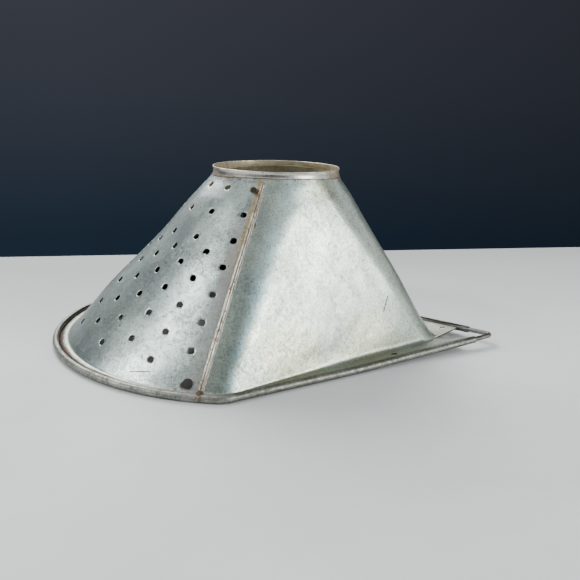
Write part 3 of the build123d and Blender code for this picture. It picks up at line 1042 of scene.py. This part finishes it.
def steel_wire(name):
    n = Nodes(name)
    wide = n.noise(9, 4, 0.6)
    fine = n.noise(0.8, 4, 0.65)
    colour = n.blend(n.ramp(wide, 0.4, 0.62), (0.27, 0.265, 0.25), (0.14, 0.13, 0.115))
    rust = n.times(n.ramp(fine, 0.50, 0.68), n.ramp(wide, 0.42, 0.62))
    colour = n.blend(rust, colour, n.blend(n.ramp(fine, 0.6, 0.75), RUST_DARK, RUST))
    roughness = n.linear(rust, 0.35, 0.36)
    metal = n.linear(rust, -0.8, 1.0)
    return n.finish(colour, roughness, fine, 0.08, metal)


def solder(name, rusty, low=0.30, high=0.62):
    """Dull solder, more or less covered with rust."""
    n = Nodes(name)
    wide = n.noise(6, 4, 0.6, warp=0.5)
    fine = n.noise(0.7, 4, 0.7)
    colour = n.blend(n.ramp(wide, 0.35, 0.65), (0.56, 0.55, 0.52), (0.36, 0.35, 0.33))
    rust = n.math("MULTIPLY", n.ramp(n.math("ADD", n.times(wide, 0.7), n.times(fine, 0.4)), high, low), rusty)
    colour = n.blend(rust, colour, n.blend(n.ramp(fine, 0.42, 0.62), RUST, RUST_DARK))
    colour = n.blend(n.times(rust, n.ramp(fine, 0.60, 0.72), 0.6), colour, RUST_LIGHT)
    roughness = n.linear(rust, 0.35, 0.42, clamp=True)
    metal = n.linear(rust, -0.85, 1.0, clamp=True)
    return n.finish(colour, roughness, n.math("ADD", wide, n.times(fine, 0.4)), 0.16, metal)


def fold_metal(name):
    """The lock seam: bright worn edges, with brown dirt in the slit and down its upper part."""
    n = Nodes(name)
    wide = n.noise(5, 4, 0.65, warp=0.4)
    fine = n.noise(0.8, 4, 0.7)
    from_seam = n.math("ABSOLUTE", n.from_seam())
    slit = n.times(n.ramp(from_seam, 0.30, 0.12), 0.85)
    front = n.ramp(n.y, 10, -10)
    upper = n.times(n.ramp(n.z, 46, 62), n.ramp(wide, 0.30, 0.58), n.linear(front, 0.5, 0.35))
    foot = n.times(n.ramp(n.z, 13, 5), n.ramp(fine, 0.35, 0.6), 0.7)
    specks = n.times(n.ramp(n.noise(1.6, 3), 0.56, 0.64), 0.8)
    rust = n.most(slit, upper, foot, specks)
    colour = n.blend(n.ramp(wide, 0.4, 0.65), (0.70, 0.67, 0.58), (0.46, 0.42, 0.34))
    dirt = n.blend(n.ramp(fine, 0.44, 0.56), TAN, RUST)
    dirt = n.blend(slit, dirt, RUST_DARK)
    colour = n.blend(rust, colour, dirt)
    roughness = n.linear(rust, 0.35, 0.33, clamp=True)
    metal = n.linear(rust, -0.7, 1.0, clamp=True)
    return n.finish(colour, roughness, n.math("ADD", wide, n.times(fine, 0.3)), 0.12, metal)


def collar_metal(name):
    """Bright outside with tan stains low on the band, golden-brown varnish of old tin inside."""
    n = Nodes(name)
    wide = n.noise(8, 4, 0.6, warp=0.5)
    fine = n.noise(0.9, 4, 0.7)
    colour = n.blend(n.ramp(wide, 0.35, 0.62), (0.74, 0.74, 0.69), (0.56, 0.54, 0.47))
    colour = n.blend(n.times(n.ramp(fine, 0.50, 0.64), 0.6), colour, (0.30, 0.27, 0.20))
    radius = n.math("SQRT", n.math("ADD", n.math("POWER", n.x, 2.0), n.math("POWER", n.y, 2.0)))
    within = n.ramp(radius, 28.02, 27.85)
    gold = n.blend(n.ramp(wide, 0.40, 0.62), (0.66, 0.60, 0.42), (0.45, 0.38, 0.24))
    colour = n.blend(within, colour, gold)
    low = n.times(n.ramp(n.z, 77.4, 75.9), n.ramp(wide, 0.34, 0.60), n.ramp(n.x, 16, -14))
    left = n.times(n.ramp(n.x, -20, -27), n.ramp(fine, 0.38, 0.56), 0.8)
    lip = n.times(n.ramp(n.z, 78.7, 79.2), n.ramp(fine, 0.5, 0.66), 0.5)
    right = n.times(n.ramp(n.x, 17, 26), n.ramp(wide, 0.36, 0.56), 0.65)
    stain = n.most(n.times(low, 0.8), lip, right, left)
    colour = n.blend(stain, colour, n.blend(n.ramp(fine, 0.42, 0.6), TAN, RUST))
    roughness = n.linear(stain, 0.25, 0.30, clamp=True)
    metal = n.linear(stain, -0.55, 1.0, clamp=True)
    metal = n.linear(within, -0.5, metal, clamp=True)
    return n.finish(colour, roughness, n.math("ADD", wide, n.times(fine, 0.25)), 0.12, metal)


def dress(made, slot, *materials):
    for k, material in enumerate(materials):
        if k < len(made.data.materials):
            made.data.materials[k] = material
        else:
            made.data.materials.append(material)
    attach(made, "root")


# ---- build ----
strainer_sheet = make_strainer()
plain_sheet = make_plain()
# The inside's tones are near black: painted shade inside the funnel, which makes the holes and the neck look dark.
INSIDE_SHADE_TONES = (0.026, 0.025, 0.023), (0.018, 0.017, 0.016), (0.016, 0.013, 0.010)
# The strainer half's tones are darker than the plain half's, though both are one tinplate: painted shade on the
# strainer half.
STRAINER_TONES = (0.55, 0.655, 0.625), (0.42, 0.505, 0.505), (0.24, 0.27, 0.22)
PLAIN_TONES = (0.78, 0.90, 0.80), (0.64, 0.75, 0.70), (0.36, 0.40, 0.27)
inside = tinplate("tin_inside", *INSIDE_SHADE_TONES, 0.60, inside=True)
strainer_tin = tinplate("tin_strainer", *STRAINER_TONES, 0.29, strainer=True)
plain_tin = tinplate("tin_plain", *PLAIN_TONES, 0.29, plain=True)
dress(strainer_sheet, "strainer_tinplate", strainer_tin, inside)
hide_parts("strainer_half")
dress(plain_sheet, "plain_tinplate", plain_tin, inside)
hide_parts("plain_half")

seam_finish = fold_metal("tin_lock_seam")
solder_finish = solder("solder_stained", 0.7)
for word, side in (("front", -1), ("rear", 1)):
    dress(make_fold(word + "_lock_seam", side), "strainer_tinplate", seam_finish)
    bead = make_bead(word + "_seam_bead", side)
    dress(bead, "solder", solder_finish)
    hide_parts(word + "_seam_solder")
    lump = make_lump(word + "_foot_lump", word + "_foot_solder", 40 + side)
    dress(lump, "rusty_solder", solder("solder_rusty_" + word, 1.0, 0.45, 0.85))
    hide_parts(word + "_foot_solder")

wire = make_wire()
dress(wire, "wire_steel", steel_wire("steel_wire_worn"))
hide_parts("rim_wire")
collar = make_collar()
dress(collar, "collar_tinplate", collar_metal("tin_collar"))
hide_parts("neck_collar")
collar_bead = make_collar_bead()
dress(collar_bead, "solder", solder("solder_collar", 1.0, 0.42, 0.78))
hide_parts("collar_solder")


# ---- stage, light and camera ----
def table_edge(x):
    """The pale floor ends behind the object along this line, seen slanting across the view."""
    return 0.1730 + 0.266 * x


def pale_floor():
    bm = bmesh.new()
    bmesh.ops.create_grid(bm, x_segments=120, y_segments=6, size=0.5)
    for vert in bm.verts:
        across, deep = vert.co.x * 2, vert.co.y + 0.5
        x = 2.6 * (0.25 * across + 0.75 * across**3)
        vert.co = (x, -2.6 + (table_edge(x) + 2.6) * deep, cad_low.z - 0.00002)
    made = linked("floor_pale", bm)
    n = Nodes("floor_finish")
    wide = n.noise(160, 5, 0.6, warp=0.5)
    folds = n.noise(30, 4, 0.6, warp=0.8)
    tone = n.blend(n.ramp(wide, 0.35, 0.65), (0.88, 0.895, 0.895), (0.81, 0.83, 0.83))
    tone = n.blend(n.times(n.ramp(folds, 0.4, 0.7), 0.12), tone, (0.66, 0.67, 0.68))
    # Darker towards the back and the left: painted shade on the floor.
    shade_slant = n.linear(n.x, 0.35, n.math("MULTIPLY", n.y, -1))
    tone = n.blend(n.ramp(shade_slant, 60, -200), tone, (0.50, 0.515, 0.515))
    made.data.materials.append(n.finish(tone, 0.75, n.math("ADD", n.times(folds, 3), n.noise(3, 4)), 0.05, 0.0))


pale_floor()


def soft_light(name, place, aim, size, power, colour):
    data = bpy.data.lights.new(name, "AREA")
    data.shape = "RECTANGLE"
    data.size, data.size_y = size
    data.energy = power
    data.color = colour
    lamp = linked(name, data)
    lamp.location = place
    lamp.rotation_euler = (Vector(aim) - Vector(place)).to_track_quat("-Z", "Y").to_euler()


def from_angles(azimuth, elevation, distance):
    a, e = math.radians(azimuth), math.radians(elevation)
    return Vector((math.cos(a) * math.cos(e), math.sin(a) * math.cos(e), math.sin(e))) * distance


AIM = (0.01, -0.03, 0.03)
for name, angles, size, power, tint in (
    ("right_low", (-29, 19, 0.85), (0.40, 0.26), 4.0, (1.0, 1.0, 0.975)),
    ("right_edge", (12, 14, 0.90), (0.35, 0.30), 0.35, (1.0, 1.0, 1.0)),
    ("right_back", (40, 20, 1.20), (0.50, 0.40), 0.6, (1.0, 1.0, 1.0)),
    ("left_high", (-149, 37, 1.00), (0.26, 0.26), 2.0, (1.0, 1.0, 0.98)),
    ("left_low", (-160, 25, 1.00), (0.28, 0.24), 2.6, (1.0, 1.0, 0.98)),
    ("left_back", (140, 12, 1.20), (0.50, 0.40), 0.44, (0.95, 1.0, 1.0)),
    ("overhead_left", (-150, 68, 1.20), (0.60, 0.60), 0.6, (1.0, 1.0, 1.0)),
    ("overhead", (-42, 64, 0.80), (0.30, 0.30), 0.5, (1.0, 1.0, 1.0)),
    ("overhead_back", (122, 43, 1.10), (0.70, 0.60), 14.0, (1.0, 1.0, 1.0)),
    ("cool_edge", (-52, 32, 0.90), (0.05, 0.30), 0.45, (0.35, 0.66, 1.0)),
):
    soft_light(name, from_angles(*angles), AIM, size, power, tint)

world = bpy.data.worlds.new("studio")
bpy.context.scene.world = world
world.use_nodes = True
sky = world.node_tree
way = sky.nodes.new("ShaderNodeTexCoord")
apart = sky.nodes.new("ShaderNodeSeparateXYZ")
sky.links.new(way.outputs["Generated"], apart.inputs[0])


def sky_range(value, low, high, to_low, to_high):
    node = sky.nodes.new("ShaderNodeMapRange")
    sky.links.new(value, node.inputs["Value"])
    for key, number in (("From Min", low), ("From Max", high), ("To Min", to_low), ("To Max", to_high)):
        node.inputs[key].default_value = number
    return node.outputs["Result"]


SKY = (
    (-0.20, (0.0108, 0.0195, 0.0325)), (0.00, (0.0290, 0.0335, 0.0455)), (0.14, (0.0365, 0.0390, 0.0515)),
    (0.22, (0.0330, 0.0400, 0.0530)), (0.60, (0.17, 0.18, 0.19)),
)
ramp = sky.nodes.new("ShaderNodeValToRGB")
sky.links.new(sky_range(apart.outputs["Z"], -0.25, 1, 0, 1), ramp.inputs["Fac"])
for stop, (height, colour) in enumerate(SKY):
    spot = ramp.color_ramp.elements[stop] if stop < 2 else ramp.color_ramp.elements.new((height + 0.25) / 1.25)
    spot.position = (height + 0.25) / 1.25
    spot.color = (*colour, 1)
across = sky.nodes.new("ShaderNodeVectorMath")
across.operation = "SCALE"
sky.links.new(ramp.outputs["Color"], across.inputs[0])
sky.links.new(sky_range(apart.outputs["X"], -0.4, 0.5, 1.25, 0.62), across.inputs["Scale"])
sky.links.new(across.outputs[0], sky.nodes["Background"].inputs["Color"])

CAMERA = Vector((29.8, -284.7, 106.2)) * MM
TILT, ROLL, TURN = math.radians(16.52), math.radians(1.40), math.radians(4.46)
forward = Vector((0, math.cos(TILT), -math.sin(TILT)))
level_up = Vector((0, math.sin(TILT), math.cos(TILT)))
right = math.cos(ROLL) * Vector((1, 0, 0)) + math.sin(ROLL) * level_up
up = forward.cross(right) * -1
axes = Matrix((right, up, -forward)).transposed()
camera_data = bpy.data.cameras.new("camera")
camera_data.sensor_width = 36
camera_data.lens = 38.979
camera_data.clip_start = 0.01
camera = linked("camera", camera_data)
camera.matrix_world = Matrix.Translation(CAMERA) @ (Matrix.Rotation(TURN, 3, "Z") @ axes).to_4x4()
bpy.context.scene.camera = camera
